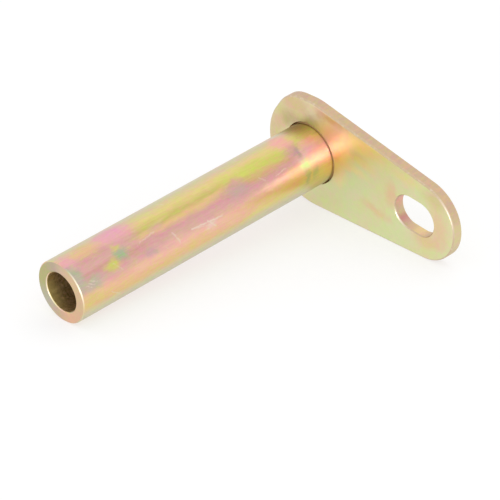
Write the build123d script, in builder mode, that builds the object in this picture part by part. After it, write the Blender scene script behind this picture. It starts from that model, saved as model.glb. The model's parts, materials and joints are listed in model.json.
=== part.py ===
from build123d import *

import os
from math import asin, atan2, cos, hypot, sin

# Latch pin: a steel tube set into the wide end of a slotted flag plate and welded on the plate's back.
# Millimetres, +Z up. The origin is on the tube's axis, at the plate's front face.
# The tube runs towards -Y, and the plate's slot lies towards +X.

# Tube
tube_outer_diameter = 25.0
tube_wall = 4.5
pin_reach = 126.5
end_chamfer = 0.4

# Flag plate: its places are measured from the tube's axis, along the plate's centreline
plate_thickness = 4.5
wide_end_radius = 23.2
wide_end_offset = 0.7
slot_end_radius = 16.6
slot_end_distance = 58.6
slot_distance = 55.0
slot_width = 14.5
slot_length = 20.0
slot_chamfer = 0.3
front_edge_radius = 0.8
back_edge_chamfer = 0.2

# Shoulders that square the wide end a little: measured from the wide end's centre
shoulder_radius = 14.5
shoulder_reach = 24.2
shoulder_angle = 123.5

# Joint between tube and plate: the tube stops short of the plate's back, and the bead fills the step
hole_clearance = 0.6
tube_setback = 1.0
bead_inner_overlap = 1.6
bead_outer_overlap = 2.2
bead_crown = 1.3

tube_radius = tube_outer_diameter / 2
bore_radius = tube_radius - tube_wall
hole_radius = tube_radius + hole_clearance
seat_depth = plate_thickness - tube_setback
tube_length = pin_reach + seat_depth
shoulder_distance = shoulder_reach - shoulder_radius
shoulder_spread = 360 - 2 * shoulder_angle

# At rest the plate stands on its long lower edge, which is parallel to X,
# so its centreline slopes down towards the slot.
plate_slope = asin((wide_end_radius - slot_end_radius) / (slot_end_distance - wide_end_offset))
edge_drop = wide_end_radius + wide_end_offset * sin(plate_slope)

# The free end's rim touches down too, so the tube slopes down towards it.
# The floor line is tangent to the plate's rounded front edge and meets the foot of the rim's chamfer.
slope_run = pin_reach - end_chamfer + front_edge_radius
slope_rise = edge_drop - front_edge_radius - tube_radius
tube_slope = atan2(slope_rise, slope_run) + asin(front_edge_radius / hypot(slope_run, slope_rise))

along_pin = Vector(0, -cos(tube_slope), -sin(tube_slope))
up_plate = Vector(0, -sin(tube_slope), cos(tube_slope))
along_plate = Vector(1, 0, 0) * cos(plate_slope) - up_plate * sin(plate_slope)
front_plane = Plane(origin=(0, 0, 0), x_dir=along_plate, z_dir=along_pin)
radial_plane = Plane(origin=(0, 0, 0), x_dir=along_plate, z_dir=along_plate.cross(along_pin))
pin_axis = Axis((0, 0, 0), along_pin)
plate_axis = Axis((0, 0, 0), along_plate)

os.makedirs("parts", exist_ok=True)

# Tube: cut square, with both rims of the free end broken by a small chamfer
with BuildPart() as pin_tube:
    with BuildSketch(front_plane.offset(-seat_depth)):
        Circle(tube_radius)
        Circle(bore_radius, mode=Mode.SUBTRACT)
    extrude(amount=tube_length)
    free_end = pin_tube.faces().sort_by(pin_axis)[-1]
    chamfer(free_end.edges(), end_chamfer)
pin_tube.part.label = "pin_tube"
export_step(pin_tube.part, "parts/pin_tube.step")

# Flag plate: a hull round the two ends and the shoulders, pierced for the tube and the bolt
with BuildPart() as flag_plate:
    with BuildSketch(front_plane.offset(-plate_thickness)) as outline:
        with Locations((wide_end_offset, 0)):
            Circle(wide_end_radius)
            with PolarLocations(shoulder_distance, 2, shoulder_angle, shoulder_spread, endpoint=True):
                Circle(shoulder_radius)
        with Locations((slot_end_distance, 0)):
            Circle(slot_end_radius)
        make_hull(outline.edges())
        Circle(hole_radius, mode=Mode.SUBTRACT)
        with Locations((slot_distance, 0)):
            SlotOverall(slot_length, slot_width, mode=Mode.SUBTRACT)
    extrude(amount=plate_thickness)
    front_face = flag_plate.faces().sort_by(pin_axis)[-1]
    slot_rim = front_face.inner_wires().sort_by(plate_axis)[-1]
    chamfer(slot_rim.edges(), slot_chamfer)
    front_face = flag_plate.faces().sort_by(pin_axis)[-1]
    fillet(front_face.outer_wire().edges(), front_edge_radius)
    back_face = flag_plate.faces().sort_by(pin_axis)[0]
    chamfer(back_face.outer_wire().edges(), back_edge_chamfer)
flag_plate.part.label = "flag_plate"
export_step(flag_plate.part, "parts/flag_plate.step")

# Weld bead: a ring on the tube's end face, up the hole's wall and out over the plate's back
with BuildPart() as weld_bead:
    with BuildSketch(radial_plane):
        with BuildLine():
            seat = Polyline(
                (tube_radius - bead_inner_overlap, -seat_depth),
                (hole_radius, -seat_depth),
                (hole_radius, -plate_thickness),
                (hole_radius + bead_outer_overlap, -plate_thickness),
            )
            SagittaArc(seat @ 1, seat @ 0, bead_crown)
        make_face()
    revolve(axis=pin_axis)
weld_bead.part.label = "weld_bead"
export_step(weld_bead.part, "parts/weld_bead.step")
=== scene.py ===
import json
import math

import bmesh
import bpy
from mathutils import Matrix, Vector, noise


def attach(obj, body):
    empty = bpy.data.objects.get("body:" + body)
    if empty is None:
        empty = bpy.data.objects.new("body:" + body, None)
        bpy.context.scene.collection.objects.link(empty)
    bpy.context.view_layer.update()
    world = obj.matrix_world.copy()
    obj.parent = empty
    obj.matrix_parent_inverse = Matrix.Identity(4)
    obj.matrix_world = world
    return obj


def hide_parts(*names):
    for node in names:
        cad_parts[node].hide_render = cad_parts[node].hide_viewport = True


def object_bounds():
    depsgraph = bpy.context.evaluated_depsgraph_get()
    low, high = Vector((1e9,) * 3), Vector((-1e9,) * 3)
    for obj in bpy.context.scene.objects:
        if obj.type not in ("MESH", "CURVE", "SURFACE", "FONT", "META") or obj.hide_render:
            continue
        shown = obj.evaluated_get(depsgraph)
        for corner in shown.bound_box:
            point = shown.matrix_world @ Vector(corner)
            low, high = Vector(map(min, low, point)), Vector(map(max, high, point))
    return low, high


# Latch pin: a yellow zinc plated tube with a slotted flag plate across one end, welded at the back.
# Metres, in the row's frame. Places on the tube are given in millimetres along it from
# the plate's face, and in degrees round it from the plate's centreline towards the top.

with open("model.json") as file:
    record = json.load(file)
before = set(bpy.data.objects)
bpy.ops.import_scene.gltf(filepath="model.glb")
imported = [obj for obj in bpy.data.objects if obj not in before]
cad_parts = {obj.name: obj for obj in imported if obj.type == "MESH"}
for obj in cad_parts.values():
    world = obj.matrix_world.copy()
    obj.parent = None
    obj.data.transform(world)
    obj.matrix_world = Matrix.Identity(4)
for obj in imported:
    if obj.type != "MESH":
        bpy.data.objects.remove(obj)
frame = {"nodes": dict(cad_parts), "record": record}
cad_low, cad_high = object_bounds()

MM = 0.001

# Directions and radii of the part, from its record's mounts
MOUNTS = {mount["name"]: mount for mount in frame["record"]["mounts"]}
ALONG_PIN = Vector(MOUNTS["shank"]["axis"]).normalized()
ALONG_PLATE = Vector(MOUNTS["bolt_slot"]["pos_m"]).normalized()
UP_PLATE = ALONG_PIN.cross(ALONG_PLATE)
TUBE_RADIUS = MOUNTS["shank"]["dims"]["r_mm"]
BORE_RADIUS = MOUNTS["tube_bore"]["dims"]["r_mm"]

# Sizes that the mounts don't give, in millimetres
PIN_REACH = 126.5
END_CHAMFER = 0.4
PLATE_THICKNESS = 4.5
FRONT_EDGE_RADIUS = 0.8
SEAT_DEPTH = 3.5
SEAT_GAP = 0.6
HOLE_RADIUS = TUBE_RADIUS + SEAT_GAP

# Weld bead: where it meets the tube's end and the plate's back, in millimetres
WELD_INNER_TOE = (10.9, -SEAT_DEPTH)
WELD_OUTER_TOE = (15.3, -PLATE_THICKNESS)
WELD_CROWN = 1.3

# How the bead was laid: its ripples, where it laps over its own start, in radians, and its mesh
WELD_RIPPLES = 46
RIPPLE_DEPTH = 0.34
RIPPLE_BOW = 0.55
WELD_LAP = 3.9
LAP_SPREAD = 0.16
CRATER_AFTER_LAP = 0.24
CRATER_SPREAD = 0.09
TOE_WANDER = 0.12
WELD_STEPS = 720
WELD_ROWS = 14

# Depths of the surface's fine relief, in metres
DRAWN_LINES_DEPTH = 0.00003
TUBE_UNEVENNESS = 0.00010
PLATE_UNEVENNESS = 0.00012
SHEAR_MARKS_DEPTH = 0.00010
WELD_UNEVENNESS = 0.00012
TUBE_SCRATCH_DEPTH = 0.00005
PLATE_SCRATCH_DEPTH = 0.00004


def place(along_plate, up_plate, along_pin):
    """A point in the row's frame from millimetres along the plate, up the plate and along the pin."""
    return (ALONG_PLATE * along_plate + UP_PLATE * up_plate + ALONG_PIN * along_pin) * MM


class Graph:
    """Adds nodes to a material and joins them, so that a material reads as a few plain calls."""

    def __init__(self, name):
        self.material = bpy.data.materials.new(name)
        self.material.use_nodes = True
        self.nodes = self.material.node_tree.nodes
        self.links = self.material.node_tree.links
        self.shader = self.nodes["Principled BSDF"]

    def put(self, socket, value):
        """Joins an output to a socket, or sets the socket's own value."""
        if isinstance(value, bpy.types.NodeSocket):
            self.links.new(value, socket)
        else:
            socket.default_value = value

    def math(self, operation, *values):
        node = self.nodes.new("ShaderNodeMath")
        node.operation = operation
        for socket, value in zip(node.inputs, values):
            self.put(socket, value)
        return node.outputs[0]

    def vector(self, operation, *values):
        node = self.nodes.new("ShaderNodeVectorMath")
        node.operation = operation
        for socket, value in zip(node.inputs, values):
            self.put(socket, value)
        return node.outputs["Value" if operation in ("DOT_PRODUCT", "LENGTH", "DISTANCE") else "Vector"]

    def combine(self, x, y, z):
        node = self.nodes.new("ShaderNodeCombineXYZ")
        for socket, value in zip(node.inputs, (x, y, z)):
            self.put(socket, value)
        return node.outputs[0]

    def noise(self, vector, scale, detail=2.0, roughness=0.5, colour=False):
        node = self.nodes.new("ShaderNodeTexNoise")
        self.put(node.inputs["Vector"], vector)
        node.inputs["Scale"].default_value = scale
        node.inputs["Detail"].default_value = detail
        node.inputs["Roughness"].default_value = roughness
        return node.outputs["Color" if colour else "Fac"]

    def spread(self, value, low, high, to_low=0.0, to_high=1.0, smooth=True):
        """Maps low..high to to_low..to_high, held at both ends."""
        node = self.nodes.new("ShaderNodeMapRange")
        node.interpolation_type = "SMOOTHSTEP" if smooth else "LINEAR"
        for name, setting in (
            ("Value", value),
            ("From Min", low),
            ("From Max", high),
            ("To Min", to_low),
            ("To Max", to_high),
        ):
            self.put(node.inputs[name], setting)
        return node.outputs["Result"]

    def ramp(self, value, stops):
        """A colour ramp. Each stop is a place from 0 to 1 and a grey level or a colour."""
        node = self.nodes.new("ShaderNodeValToRGB")
        band = node.color_ramp
        while len(band.elements) < len(stops):
            band.elements.new(0.5)
        for element, (position, colour) in zip(band.elements, stops):
            element.position = position
            element.color = (colour, colour, colour, 1) if isinstance(colour, float) else colour
        self.put(node.inputs["Fac"], value)
        return node.outputs["Color"]

    def mix(self, factor, first, second, blend="MIX"):
        node = self.nodes.new("ShaderNodeMix")
        node.data_type = "RGBA"
        node.blend_type = blend
        self.put(node.inputs["Factor"], factor)
        self.put(node.inputs["A"], first)
        self.put(node.inputs["B"], second)
        return next(o for o in node.outputs if o.type == "RGBA")

    def bump(self, height, strength, distance, normal=None):
        node = self.nodes.new("ShaderNodeBump")
        node.inputs["Strength"].default_value = strength
        node.inputs["Distance"].default_value = distance
        self.put(node.inputs["Height"], height)
        if normal is not None:
            self.put(node.inputs["Normal"], normal)
        return node.outputs["Normal"]

    def add(self, *values):
        total = values[0]
        for value in values[1:]:
            total = self.math("ADD", total, value)
        return total


def colour(red, green, blue):
    """A colour written as it shows on screen, 0 to 255, as the shader's own values."""
    def linear(level):
        level /= 255
        return level / 12.92 if level <= 0.04045 else ((level + 0.055) / 1.055) ** 2.4

    return (linear(red), linear(green), linear(blue), 1.0)


# Tones of the zinc's passive film, as they show on screen. The darkest, shade, is painted shade, and
# ivory is painted light.
TONES = {
    "mauve": (215, 165, 160),
    "brown": (210, 160, 150),
    "rose": (220, 175, 165),
    "pink": (235, 175, 185),
    "coral": (245, 185, 170),
    "peach": (240, 190, 170),
    "apricot": (235, 190, 155),
    "gold": (230, 195, 140),
    "yellow": (230, 210, 140),
    "straw": (220, 205, 160),
    "reed": (215, 210, 170),
    "lime": (210, 210, 110),
    "bright_lime": (195, 215, 185),
    "olive": (205, 190, 115),
    "bronze": (200, 180, 110),
    "shade": (160, 140, 80),
    "tan": (220, 190, 150),
    "sage": (170, 185, 150),
    "leaf": (220, 225, 175),
    "sand": (225, 220, 170),
    "lemon": (240, 220, 145),
    "ash": (190, 185, 165),
    "lilac": (200, 170, 165),
    "slate": (180, 155, 155),
    "painted_light_ivory": (255, 240, 215),
    "butter": (250, 220, 160),
    "orange": (240, 185, 125),
    "pale": (235, 220, 200),
    "beige": (210, 185, 155),
    "clay": (215, 170, 135),
    "blush": (245, 190, 205),
    "plum": (205, 145, 140),
    "moss": (185, 180, 125),
    "fawn": (190, 170, 150),
}


def tone(name):
    return colour(*TONES[name])


# Bands of film round the tube, as angles and tones, near its free end, half-way and near the plate.
# The side that the photograph doesn't show has the same bands all along.
FIRST_ANGLE = -50
AWAY_BANDS = (
    (130, "gold"), (150, "apricot"), (175, "mauve"), (190, "rose"), (205, "peach"), (220, "yellow"),
    (240, "lime"), (255, "gold"), (270, "pink"), (285, "apricot"), (300, "gold"), (310, "reed"),
)
END_BANDS = (
    (-50, "reed"), (-20, "reed"), (0, "gold"), (15, "apricot"), (30, "rose"), (50, "brown"),
    (60, "rose"), (75, "mauve"), (90, "apricot"), (110, "straw"), (125, "reed"),
)
MIDDLE_BANDS = (
    (-50, "reed"), (-20, "reed"), (0, "gold"), (20, "peach"), (35, "rose"), (50, "mauve"), (60, "gold"),
    (70, "olive"), (85, "yellow"), (110, "straw"), (125, "reed"),
)
PLATE_BANDS = (
    (-50, "reed"), (-20, "reed"), (0, "yellow"), (15, "gold"), (30, "rose"), (45, "mauve"),
    (55, "clay"), (70, "lime"), (90, "yellow"), (110, "straw"), (125, "reed"),
)

# The cut face of the free end, as angles and tones
FACE_BANDS = (
    (-180, "moss"), (-135, "ash"), (-100, "beige"), (-60, "apricot"), (0, "tan"), (60, "tan"),
    (90, "beige"), (110, "fawn"), (145, "moss"), (180, "moss"),
)

# Patches on the tube: along it, angle, half length, half width, tone and strength
TUBE_PATCHES = (
    (126.0, 66, 5.0, 5.0, "sage", 0.95),
    (126.5, 43, 4.5, 7.0, "ash", 0.90),
    (120.0, 33, 7.0, 4.0, "ash", 0.85),
    (123.0, 90, 5.0, 8.0, "pink", 0.60),
    (114.0, 92, 8.0, 6.0, "gold", 0.60),
    (122.0, 8, 7.0, 4.0, "lime", 0.45),
    (109.5, 43, 6.0, 3.4, "lime", 0.90),
    (103.5, 54, 4.2, 3.6, "sage", 1.00),
    (103.5, 68, 2.8, 2.0, "lime", 0.80),
    (101.0, 98, 12.0, 8.0, "pink", 1.00),
    (97.0, 16, 8.0, 3.0, "peach", 0.70),
    (91.5, 31, 4.5, 2.8, "lilac", 0.70),
    (86.0, 63, 7.0, 3.4, "rose", 0.60),
    (62.5, 21, 3.5, 2.4, "pale", 0.60),
    (52.0, 10, 20.0, 4.5, "peach", 0.70),
    (50.0, 58, 9.0, 3.0, "mauve", 0.60),
    (46.0, 51, 8.5, 4.5, "lilac", 0.85),
    (46.0, 65, 7.5, 3.0, "mauve", 0.60),
    (28.0, 66, 13.0, 3.0, "lime", 0.30),
    (34.0, 80, 9.0, 2.6, "lime", 0.50),
    (16.0, 93, 6.0, 8.0, "coral", 1.00),
    # Painted highlight: the bright wedge where the tube reflects the lit plate
    (27.0, 29, 17.0, 2.0, "blush", 0.50),
    (20.0, 11, 12.0, 3.5, "orange", 0.45),
    # Painted highlight, in the same wedge
    (16.0, 24, 7.0, 2.0, "peach", 0.60),
    (15.0, 62, 7.0, 5.0, "mauve", 0.90),
    (6.0, 66, 8.0, 4.0, "coral", 0.90),
    (3.0, 68, 6.0, 4.5, "orange", 0.60),
    # Painted highlight, where the wedge widens at the plate
    (6.0, 40, 15.0, 6.5, "blush", 1.00),
    (13.5, 57, 3.0, 3.0, "slate", 0.70),
    (12.5, 34, 4.4, 3.6, "bright_lime", 1.00),
    (13.2, 8, 2.4, 4.5, "sage", 0.60),
    (9.2, 10, 1.8, 4.0, "sage", 0.50),
    (7.0, -14, 9.0, 8.0, "butter", 0.60),
    # Painted shade on the tube's top, next to the plate
    (2.0, 112, 11.0, 12.0, "shade", 0.80),
)

# Patches on the plate: along its centreline, up from it, half length, half width, tone and strength
PLATE_PATCHES = (
    (30, 17, 18.0, 7.0, "lemon", 0.80),
    # Painted light on the plate above the tube's seat
    (6, 18, 12.0, 9.0, "painted_light_ivory", 0.90),
    # Painted reflection of the lit tube in the plate, round its seat
    (15, 10, 11.0, 12.0, "butter", 1.00),
    (15, -2, 8.0, 8.0, "butter", 0.60),
    (24, 4, 9.0, 3.0, "butter", 0.50),
    (-10, 18, 15.0, 10.0, "tan", 0.90),
    # Painted shade on the plate beside the tube's top
    (-15, 8, 8.0, 9.0, "tan", 0.80),
    (-9, 10, 9.0, 5.0, "shade", 0.45),
    (-4, 13, 8.0, 3.0, "lime", 0.25),
    (9, 22, 15.0, 4.5, "apricot", 0.70),
    (13, 7, 5.0, 4.0, "orange", 0.30),
    (25, 11, 8.0, 4.0, "straw", 0.60),
    (27, 10, 9.0, 4.0, "lemon", 0.60),
    (65, 12, 9.0, 6.0, "tan", 0.60),
    (-19, 0, 8.0, 14.0, "tan", 0.70),
    (43, 4, 5.0, 8.0, "apricot", 0.60),
    (50, 14, 12.0, 4.0, "lemon", 0.50),
    (67, 0, 8.0, 14.0, "apricot", 0.55),
    (36, -8, 12.0, 3.5, "apricot", 0.50),
    (61, -8, 11.0, 5.0, "apricot", 0.60),
    (43, -17, 13.0, 6.0, "leaf", 0.80),
)

# Patches on the plate's sheared edge and in its slot, with the same numbers
WALL_PATCHES = (
    (78, -2, 14.0, 14.0, "straw", 1.00),
    (57, -8, 7.0, 4.0, "butter", 0.60),
    (45, 2, 3.0, 3.5, "coral", 0.50),
    (48, -6, 3.5, 2.8, "plum", 0.90),
)

# Scratches on the tube: along it and angle at both ends, half width and strength
SCRATCHES = (
    ((72, 31), (57, 26), 0.45, 0.70),
    ((64, 31), (61, 15), 0.45, 0.60),
    ((70, 29), (64, 23), 0.35, 0.40),
    ((80.5, 42), (78.5, 21), 0.60, 0.45),
    ((95, 54), (87, 59), 0.35, 0.40),
    ((121, 39), (118, 33), 0.30, 0.45),
    ((122, 36), (119.5, 30), 0.30, 0.45),
    ((123, 33), (121, 28), 0.30, 0.45),
    ((109, 46), (106, 28), 0.35, 0.30),
    ((35, 52), (33, 42), 0.40, 0.30),
    ((28, 40), (22, 44), 0.35, 0.40),
    ((113, 2), (109, -12), 0.40, 0.40),
    ((76, 108), (75, 98), 0.40, 0.40),
)

# Handling scuffs: the directions in which they run, in degrees, with an offset for each one's noise
SCUFF_DIRECTIONS = ((24, 3.0), (-37, 11.0), (78, 23.0))

# Tones of the back face, along its drift, and of the weld
BACK_TONES = ("leaf", "sand", "gold", "apricot", "sand", "leaf", "straw", "peach")
WELD_TONES = ("bronze", "gold", "apricot", "mauve", "tan", "yellow")


def tube_point(along, angle, radius=TUBE_RADIUS):
    """A point on the tube, in the millimetre coordinates that the materials use."""
    turn = math.radians(angle)
    return Vector((radius * math.cos(turn), radius * math.sin(turn), along))


def local_millimetres(graph):
    """The surface point as millimetres along the plate, up the plate and along the pin."""
    coordinates = graph.nodes.new("ShaderNodeTexCoord").outputs["Object"]
    directions = (ALONG_PLATE, UP_PLATE, ALONG_PIN)
    axes = [graph.vector("DOT_PRODUCT", coordinates, direction / MM) for direction in directions]
    return graph.combine(*axes), axes


def patch(graph, point, centre, size, strength):
    """A soft patch: strength at its centre, nothing past its half sizes."""
    offset = graph.vector("SUBTRACT", point, centre)
    scaled = graph.vector("MULTIPLY", offset, tuple(1 / side for side in size))
    return graph.spread(graph.vector("LENGTH", scaled), 0.15, 1.0, strength, 0.0)


def stroke(graph, point, start, end, half_width, strength):
    """A thin straight mark from start to end."""
    run = end - start
    offset = graph.vector("SUBTRACT", point, start)
    share = graph.vector("DOT_PRODUCT", offset, run / run.length_squared)
    share = graph.math("MINIMUM", graph.math("MAXIMUM", share, 0.0), 1.0)
    nearest = graph.vector("MULTIPLY", graph.combine(share, share, share), run)
    distance = graph.vector("DISTANCE", offset, nearest)
    return graph.spread(distance, 0.3 * half_width, half_width, strength, 0.0)


def warp(graph, point, scale, reach):
    """Shifts a point by smooth noise, by up to about half of reach each way."""
    shift = graph.vector("SUBTRACT", graph.noise(point, scale, 3.0, 0.55, colour=True), (0.5, 0.5, 0.5))
    return graph.vector("ADD", point, graph.vector("MULTIPLY", shift, reach))


def flat_patches(graph, warped, film, patches):
    """Lays patches over the film of a flat piece, on its plane."""
    for at, height, half_length, half_width, name, strength in patches:
        mask = patch(graph, warped, (at, height, 0.0), (half_length, half_width, 1.0), strength)
        film = graph.mix(mask, film, tone(name))
    return film


def even_ramp(graph, value, names):
    """A ramp through the named tones, evenly spaced."""
    last = len(names) - 1
    return graph.ramp(value, [(place / last, tone(name)) for place, name in enumerate(names)])


def centred(graph, value, reach):
    """Noise of 0 to 1 as a shift of up to half of reach each way."""
    return graph.math("MULTIPLY", graph.math("SUBTRACT", value, 0.5), reach)


def bands(graph, degrees, stops):
    """A ramp of tones round the tube."""
    turned = graph.math("WRAP", degrees, FIRST_ANGLE + 360, FIRST_ANGLE)
    part_turn = graph.spread(turned, FIRST_ANGLE, FIRST_ANGLE + 360, smooth=False)
    return graph.ramp(part_turn, [((angle - FIRST_ANGLE) / 360, tone(name)) for angle, name in stops])


def mottle(graph, point, base, scale, strength):
    """Small shifts of the film's hue, towards pink and towards lime."""
    hues = ((0.32, (0.64, 0.40, 0.58, 1)), (0.50, (0.5, 0.5, 0.5, 1)), (0.68, (0.44, 0.60, 0.38, 1)))
    shift = graph.ramp(graph.noise(point, scale, 3.0, 0.6), hues)
    return graph.mix(strength, base, shift, "SOFT_LIGHT")


def scuffs(graph, flat, amount):
    """Fine handling scratches, thin and crossing, on coordinates that lie flat on the surface."""
    total = 0.0
    for turn, offset in SCUFF_DIRECTIONS:
        turned = graph.nodes.new("ShaderNodeVectorRotate")
        turned.rotation_type = "Z_AXIS"
        turned.inputs["Angle"].default_value = math.radians(turn)
        graph.put(turned.inputs["Vector"], flat)
        stretched = (0.16, 3.4, 1.0)
        fine = graph.vector("MULTIPLY_ADD", turned.outputs[0], stretched, (offset, offset, offset))
        line = graph.spread(graph.noise(fine, 1.0, 2.0, 0.5), 0.66, 0.74)
        moved = graph.vector("ADD", flat, (offset, 0.0, offset))
        where = graph.spread(graph.noise(moved, 0.09, 2.0, 0.5), 0.45, 0.62)
        total = graph.math("MAXIMUM", total, graph.math("MULTIPLY", line, where))
    return graph.math("MULTIPLY", total, amount)


def metal(graph, base, roughness, normal, dusty=None):
    """The plated steel's gloss, lost where it is dusty. The film is a little duller at a low angle."""
    graph.put(graph.shader.inputs["Base Color"], base)
    graph.put(graph.shader.inputs["Roughness"], roughness)
    graph.put(graph.shader.inputs["Normal"], normal)
    metallic = 1.0 if dusty is None else graph.math("SUBTRACT", 1.0, dusty)
    graph.put(graph.shader.inputs["Metallic"], metallic)
    graph.shader.inputs["Specular Tint"].default_value = (0.86, 0.87, 0.96, 1.0)


def tube_material():
    graph = Graph("zinc_tube")
    point, (across, up, along) = local_millimetres(graph)
    radius = graph.vector("LENGTH", graph.combine(across, up, 0.0))
    turn = graph.math("ARCTAN2", up, across)
    degrees_up = graph.math("MULTIPLY", turn, 180 / math.pi)
    unrolled = graph.combine(along, graph.math("MULTIPLY", turn, TUBE_RADIUS), 0.0)

    # Bands that waver along the tube
    streaked = graph.vector("MULTIPLY", point, (1.0, 1.0, 0.12))
    waver = centred(graph, graph.noise(streaked, 0.45, 3.0, 0.6), 16.0)
    drift = centred(graph, graph.noise(point, 0.12, 2.0, 0.5), 14.0)
    banded_angle = graph.add(degrees_up, waver, drift)
    shifted_along = graph.add(along, drift)
    end = bands(graph, banded_angle, END_BANDS + AWAY_BANDS)
    middle = bands(graph, banded_angle, MIDDLE_BANDS + AWAY_BANDS)
    near_plate = bands(graph, banded_angle, PLATE_BANDS + AWAY_BANDS)
    film = graph.mix(graph.spread(shifted_along, 86.0, 102.0), middle, end)
    film = graph.mix(graph.spread(shifted_along, 42.0, 56.0), near_plate, film)

    warped = warp(graph, warp(graph, point, 0.12, (3.0, 3.0, 6.0)), 0.45, (2.6, 2.6, 4.0))
    for at, angle, half_length, half_width, name, strength in TUBE_PATCHES:
        centre = tube_point(at, angle)
        mask = patch(graph, warped, centre, (half_width, half_width, half_length), strength)
        film = graph.mix(mask, film, tone(name))
    film = mottle(graph, streaked, film, 1.1, 0.55)
    film = mottle(graph, point, film, 0.35, 0.65)
    film = mottle(graph, point, film, 1.2, 0.60)
    grain = graph.noise(streaked, 2.0, 4.0, 0.7)
    film = graph.mix(0.5, film, graph.ramp(grain, ((0.3, 0.38), (0.7, 0.62))), "SOFT_LIGHT")

    # Scratches and scuffs, which bare a paler metal
    marked = warp(graph, point, 0.8, (1.2, 1.2, 1.2))
    scratched = 0.0
    for start, end_point, half_width, strength in SCRATCHES:
        line = stroke(graph, marked, tube_point(*start), tube_point(*end_point), half_width, strength)
        scratched = graph.math("MAXIMUM", scratched, line)
    worn = graph.math("MAXIMUM", scratched, scuffs(graph, unrolled, 0.35))
    film = graph.mix(worn, film, tone("pale"))

    # Free end: the cut face has its own colours, and both rims carry a painted highlight
    part_turn = graph.spread(graph.add(degrees_up, drift), -180.0, 180.0, smooth=False)
    face = graph.ramp(part_turn, [((angle + 180) / 360, tone(name)) for angle, name in FACE_BANDS])
    on_face = graph.spread(along, PIN_REACH - 0.06, PIN_REACH - 0.01)
    film = graph.mix(on_face, film, mottle(graph, point, face, 0.6, 0.6))
    past_shank = graph.spread(along, PIN_REACH - END_CHAMFER - 0.02, PIN_REACH - END_CHAMFER + 0.02)
    on_rim = graph.math("SUBTRACT", past_shank, on_face)
    on_outer_rim = graph.spread(radius, 9.0, 11.0)
    # Painted highlights on the chamfers of both rims
    outer_rim_highlight = patch(graph, point, tube_point(PIN_REACH, 35), (11.0, 11.0, 9.0), 0.9)
    inner_rim_highlight = patch(graph, point, tube_point(PIN_REACH, -155, BORE_RADIUS), (12.0, 12.0, 9.0), 0.9)
    rim_highlight = graph.mix(on_outer_rim, inner_rim_highlight, outer_rim_highlight)
    film = graph.mix(graph.math("MULTIPLY", on_rim, rim_highlight), film, tone("painted_light_ivory"))

    # Bore and the stretch inside the plate: duller, with a thinner film. The bore is paler at its
    # mouth, as painted light.
    in_bore = graph.spread(radius, BORE_RADIUS + 0.05, BORE_RADIUS + 0.15, 1.0, 0.0)
    dull = graph.ramp(graph.noise(point, 0.8, 4.0, 0.65), ((0.35, tone("shade")), (0.65, tone("tan"))))
    mouth_light = patch(graph, point, tube_point(PIN_REACH, -150, BORE_RADIUS), (11.0, 11.0, 7.0), 1.0)
    dull = graph.mix(mouth_light, dull, tone("lemon"))
    film = graph.mix(in_bore, film, dull)
    outside = graph.spread(radius, TUBE_RADIUS - 0.10, TUBE_RADIUS - 0.02)
    seated = graph.math("MULTIPLY", graph.spread(along, -0.02, 0.0, 1.0, 0.0), outside)
    film = graph.mix(seated, film, tone("gold"))

    # Gloss: drawn lines along the tube, a slight unevenness and the marks
    roughness = graph.spread(graph.noise(streaked, 0.8, 4.0, 0.65), 0.3, 0.7, 0.29, 0.39)
    roughness = graph.add(
        roughness,
        graph.math("MULTIPLY", in_bore, 0.2),
        graph.math("MULTIPLY", worn, 0.1),
        graph.math("MULTIPLY", seated, 0.5),
    )
    drawn = graph.noise(graph.vector("MULTIPLY", point, (1.0, 1.0, 0.03)), 3.0, 4.0, 0.6)
    normal = graph.bump(drawn, 0.5, DRAWN_LINES_DEPTH)
    normal = graph.bump(graph.noise(point, 0.5, 3.0, 0.5), 0.5, TUBE_UNEVENNESS, normal)
    normal = graph.bump(worn, 0.6, -TUBE_SCRATCH_DEPTH, normal)
    metal(graph, film, roughness, normal, seated)
    return graph.material


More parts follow.
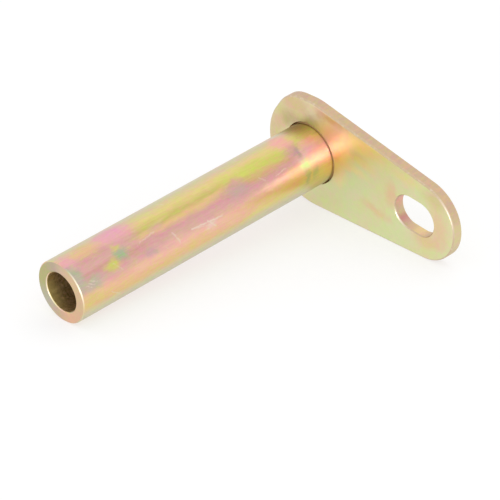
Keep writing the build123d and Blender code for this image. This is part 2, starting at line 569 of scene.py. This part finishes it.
def plate_material():
    graph = Graph("zinc_plate")
    point, (across, up, along) = local_millimetres(graph)
    depth = graph.math("MULTIPLY", along, -1.0)
    flat = graph.combine(across, up, 0.0)
    warped = warp(graph, warp(graph, flat, 0.07, (8.0, 8.0, 0.0)), 0.35, (3.0, 3.0, 0.0))

    # Front face: slow clouds of two tones under the patches
    clouds = graph.spread(graph.noise(warped, 0.06, 2.0, 0.5), 0.3, 0.7)
    film = flat_patches(graph, warped, graph.mix(clouds, tone("sand"), tone("leaf")), PLATE_PATCHES)
    film = mottle(graph, warped, film, 0.14, 0.65)
    film = mottle(graph, warped, film, 0.35, 0.50)
    film = mottle(graph, flat, film, 1.0, 0.40)
    worn = scuffs(graph, flat, 0.35)
    film = graph.mix(worn, film, tone("pale"))

    # Back face: its own slow drift of the same tones
    drifting = warp(graph, flat, 0.04, (16.0, 16.0, 0.0))
    drift = graph.spread(graph.noise(drifting, 0.035, 1.0, 0.5), 0.30, 0.70, smooth=False)
    back = graph.mix(0.45, even_ramp(graph, drift, BACK_TONES), tone("sand"))
    back = mottle(graph, warped, back, 0.14, 0.5)
    back = mottle(graph, flat, back, 0.8, 0.4)
    on_back = graph.spread(depth, PLATE_THICKNESS - 0.3, PLATE_THICKNESS - 0.1)
    film = graph.mix(on_back, film, back)

    # Sheared edge: a redder film with faint marks across the thickness
    across_edge = graph.vector("MULTIPLY", point, (1.0, 1.0, 0.45))
    sheared = graph.ramp(
        graph.noise(across_edge, 0.55, 5.0, 0.8),
        ((0.10, tone("mauve")), (0.45, tone("beige")), (0.62, tone("tan")), (0.95, tone("straw"))),
    )
    sheared = flat_patches(graph, warped, sheared, WALL_PATCHES)
    sheared = mottle(graph, point, sheared, 0.4, 0.6)
    sheared = mottle(graph, point, sheared, 1.5, 0.6)
    below_front = graph.spread(depth, FRONT_EDGE_RADIUS - 0.35, FRONT_EDGE_RADIUS + 0.05)
    above_back = graph.spread(depth, PLATE_THICKNESS - 0.15, PLATE_THICKNESS - 0.02, 1.0, 0.0)
    on_wall = graph.math("MULTIPLY", below_front, above_back)
    film = graph.mix(on_wall, film, sheared)

    # The wall of the tube's seat is dusty and dull
    from_pin = graph.vector("LENGTH", flat)
    near_pin = graph.spread(from_pin, HOLE_RADIUS + 0.1, HOLE_RADIUS + 0.2, 1.0, 0.0)
    in_seat = graph.math("MULTIPLY", near_pin, graph.spread(depth, 0.02, 0.06))
    film = graph.mix(in_seat, film, tone("gold"))

    # Front edges: rubbed paler in random spots, with a painted highlight along the rounding at the tip
    # and at the slot's near side
    above_wall = graph.spread(depth, FRONT_EDGE_RADIUS - 0.25, FRONT_EDGE_RADIUS, 1.0, 0.0)
    on_edge = graph.math("MULTIPLY", graph.spread(depth, 0.02, 0.12), above_wall)
    # Painted highlights, where the rounded front edge catches the lamp
    tip_glint = patch(graph, flat, (70, 8, 0.0), (11.0, 12.0, 1.0), 0.6)
    slot_edge_glint = patch(graph, flat, (48, -5, 0.0), (6.0, 6.0, 1.0), 1.0)
    film = graph.mix(graph.math("MULTIPLY", on_edge, 0.9), film, tone("beige"))
    rubbed_and_glint = graph.spread(graph.noise(point, 0.6, 3.0, 0.7), 0.48, 0.66, 0.0, 0.5)
    rubbed_and_glint = graph.math("MAXIMUM", rubbed_and_glint, graph.math("MAXIMUM", tip_glint, slot_edge_glint))
    film = graph.mix(graph.math("MULTIPLY", on_edge, rubbed_and_glint), film, tone("pale"))

    roughness = graph.spread(graph.noise(flat, 0.5, 4.0, 0.65), 0.3, 0.7, 0.34, 0.44)
    roughness = graph.add(
        roughness,
        graph.math("MULTIPLY", on_wall, 0.08),
        graph.math("MULTIPLY", in_seat, 0.5),
    )
    normal = graph.bump(graph.noise(flat, 0.35, 4.0, 0.55), 0.5, PLATE_UNEVENNESS)
    marks = graph.math("MULTIPLY", on_wall, graph.noise(across_edge, 1.6, 4.0, 0.7))
    normal = graph.bump(marks, 0.5, SHEAR_MARKS_DEPTH, normal)
    normal = graph.bump(worn, 0.6, -PLATE_SCRATCH_DEPTH, normal)
    metal(graph, film, roughness, normal, in_seat)
    return graph.material


def weld_material():
    """The plating over the weld: darker and redder in the hollows between the ripples, as painted
    shade.
    """
    graph = Graph("zinc_weld")
    point = local_millimetres(graph)[0]
    warped = warp(graph, point, 0.3, (3.0, 3.0, 3.0))
    drift = graph.spread(graph.noise(warped, 0.16, 3.0, 0.6), 0.28, 0.72, smooth=False)
    film = even_ramp(graph, drift, WELD_TONES)
    hollow = graph.nodes.new("ShaderNodeNewGeometry").outputs["Pointiness"]
    # Painted shade: the shade tone laid where the bead's surface is hollow
    film = graph.mix(graph.spread(hollow, 0.44, 0.50, 0.7, 0.0), film, tone("shade"))
    film = mottle(graph, point, film, 0.9, 0.6)
    roughness = graph.spread(graph.noise(point, 1.2, 4.0, 0.65), 0.3, 0.7, 0.40, 0.55)
    normal = graph.bump(graph.noise(point, 1.8, 4.0, 0.6), 0.5, WELD_UNEVENNESS)
    metal(graph, film, roughness, normal)
    return graph.material


def hump(turn, middle, spread):
    """1 at the middle of a turn, falling off smoothly to each side."""
    return math.exp(-((turn - middle) / spread) ** 2)


def weld_section(turn, heading):
    """The bead's outline at one angle, as radii and places along the pin in millimetres."""
    run = Vector(WELD_OUTER_TOE) - Vector(WELD_INNER_TOE)
    rise = Vector((run.y, -run.x)).normalized()
    wander = noise.noise(heading * 2.5)
    lap = hump(turn, WELD_LAP, LAP_SPREAD)
    crater = hump(turn, WELD_LAP + CRATER_AFTER_LAP, CRATER_SPREAD)
    fullness = 0.86 + 0.08 * wander + 0.06 * lap - 0.30 * crater
    section = []
    for row in range(WELD_ROWS + 1):
        share = row / WELD_ROWS
        arch = 4 * share * (1 - share)
        phase = (turn * WELD_RIPPLES / math.tau + RIPPLE_BOW * arch + 0.3 * wander) % 1.0
        height = WELD_CROWN * arch ** 0.7 * fullness
        height -= RIPPLE_DEPTH * (1 - phase ** 1.6) * arch ** 0.5
        side = Vector((0, 0, 4.0 * round(share)))
        toe = TOE_WANDER * (1 + noise.noise(heading * 9.0 + side)) * (1 - 2 * share)
        spot = Vector(WELD_INNER_TOE) + run * share + rise * max(height, 0.0)
        section.append((spot.x + toe * (1 - arch), spot.y))
    return section + [(HOLE_RADIUS, -PLATE_THICKNESS), (HOLE_RADIUS, -SEAT_DEPTH)]


def weld():
    """The hand-laid bead on the plate's back: overlapping ripples with a lap where the ring ends."""
    mesh = bmesh.new()
    rings = []
    for step in range(WELD_STEPS):
        turn = math.tau * step / WELD_STEPS
        heading = Vector((math.cos(turn), math.sin(turn), 0.0))
        section = weld_section(turn, heading)
        rings.append([mesh.verts.new(place(r * heading.x, r * heading.y, w)) for r, w in section])
    for first, second in zip(rings, rings[1:] + rings[:1]):
        for a, b, c, d in zip(first, first[1:] + first[:1], second[1:] + second[:1], second):
            mesh.faces.new((a, b, c, d))
    bmesh.ops.recalc_face_normals(mesh, faces=mesh.faces)
    data = bpy.data.meshes.new("weld_ripples")
    mesh.to_mesh(data)
    mesh.free()
    data.materials.append(weld_material())
    data.shade_smooth()
    piece = bpy.data.objects.new("weld_ripples", data)
    bpy.context.scene.collection.objects.link(piece)
    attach(piece, "root")
    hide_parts("weld_bead")


def dress(piece, material):
    """Gives the piece its one material, with smooth shading."""
    piece.data.materials.clear()
    piece.data.materials.append(material)
    piece.data.shade_smooth()


dress(frame["nodes"]["pin_tube"], tube_material())
dress(frame["nodes"]["flag_plate"], plate_material())
weld()


# Stage: a white floor that keeps a light shadow, a white surround and one soft lamp
FLOOR_SIZE = 6.0
FLOOR_GLOW = 0.62
FLOOR_ALBEDO = 0.40
LAMP_PLACE = (0.55, -0.55, 0.05)
LAMP_TARGET = (0.02, -0.02, 0.0)
LAMP_SIZE = 0.25
LAMP_POWER = 1.5
CAMERA_PLACE = (0.760608, -0.753135, 0.561974)
CAMERA_DEGREES = (60.5396, 0.2783, 46.3686)
CAMERA_LENS = 227.216


def seen_rays(graph):
    """1 for what the camera, a mirror or a glass sees, and 0 for light on the object."""
    path = graph.nodes.new("ShaderNodeLightPath").outputs
    seen = graph.math("MAXIMUM", path["Is Camera Ray"], path["Is Glossy Ray"])
    return graph.math("MAXIMUM", seen, path["Is Transmission Ray"])


def floor():
    mesh = bpy.data.meshes.new("floor")
    half = FLOOR_SIZE / 2
    level = cad_low.z
    corners = [(-half, -half, level), (half, -half, level), (half, half, level), (-half, half, level)]
    mesh.from_pydata(corners, [], [(0, 1, 2, 3)])
    piece = bpy.data.objects.new("floor", mesh)
    bpy.context.scene.collection.objects.link(piece)
    graph = Graph("floor_white")
    graph.shader.inputs["Base Color"].default_value = (FLOOR_ALBEDO,) * 3 + (1,)
    graph.shader.inputs["Roughness"].default_value = 1.0
    graph.shader.inputs["Specular IOR Level"].default_value = 0.0
    graph.shader.inputs["Emission Color"].default_value = (1, 1, 1, 1)
    glow = graph.math("MULTIPLY", seen_rays(graph), FLOOR_GLOW)
    graph.put(graph.shader.inputs["Emission Strength"], glow)
    mesh.materials.append(graph.material)


def surround():
    world = bpy.data.worlds.new("surround")
    bpy.context.scene.world = world
    world.use_nodes = True
    background = world.node_tree.nodes["Background"]
    background.inputs["Color"].default_value = (1, 1, 1, 1)
    background.inputs["Strength"].default_value = 1.0


def lamp():
    data = bpy.data.lights.new("front_right", "AREA")
    data.shape = "DISK"
    data.size = LAMP_SIZE
    data.energy = LAMP_POWER
    piece = bpy.data.objects.new("front_right", data)
    piece.location = LAMP_PLACE
    beam = Vector(LAMP_TARGET) - Vector(LAMP_PLACE)
    piece.rotation_euler = beam.to_track_quat("-Z", "Y").to_euler()
    bpy.context.scene.collection.objects.link(piece)


def camera():
    data = bpy.data.cameras.new("camera")
    data.sensor_width = 36.0
    data.lens = CAMERA_LENS
    data.clip_start = 0.05
    data.clip_end = 20.0
    piece = bpy.data.objects.new("camera", data)
    piece.location = CAMERA_PLACE
    piece.rotation_euler = [math.radians(angle) for angle in CAMERA_DEGREES]
    bpy.context.scene.collection.objects.link(piece)
    bpy.context.scene.camera = piece


floor()
surround()
lamp()
camera()

view = bpy.context.scene.view_settings
view.view_transform = "Standard"
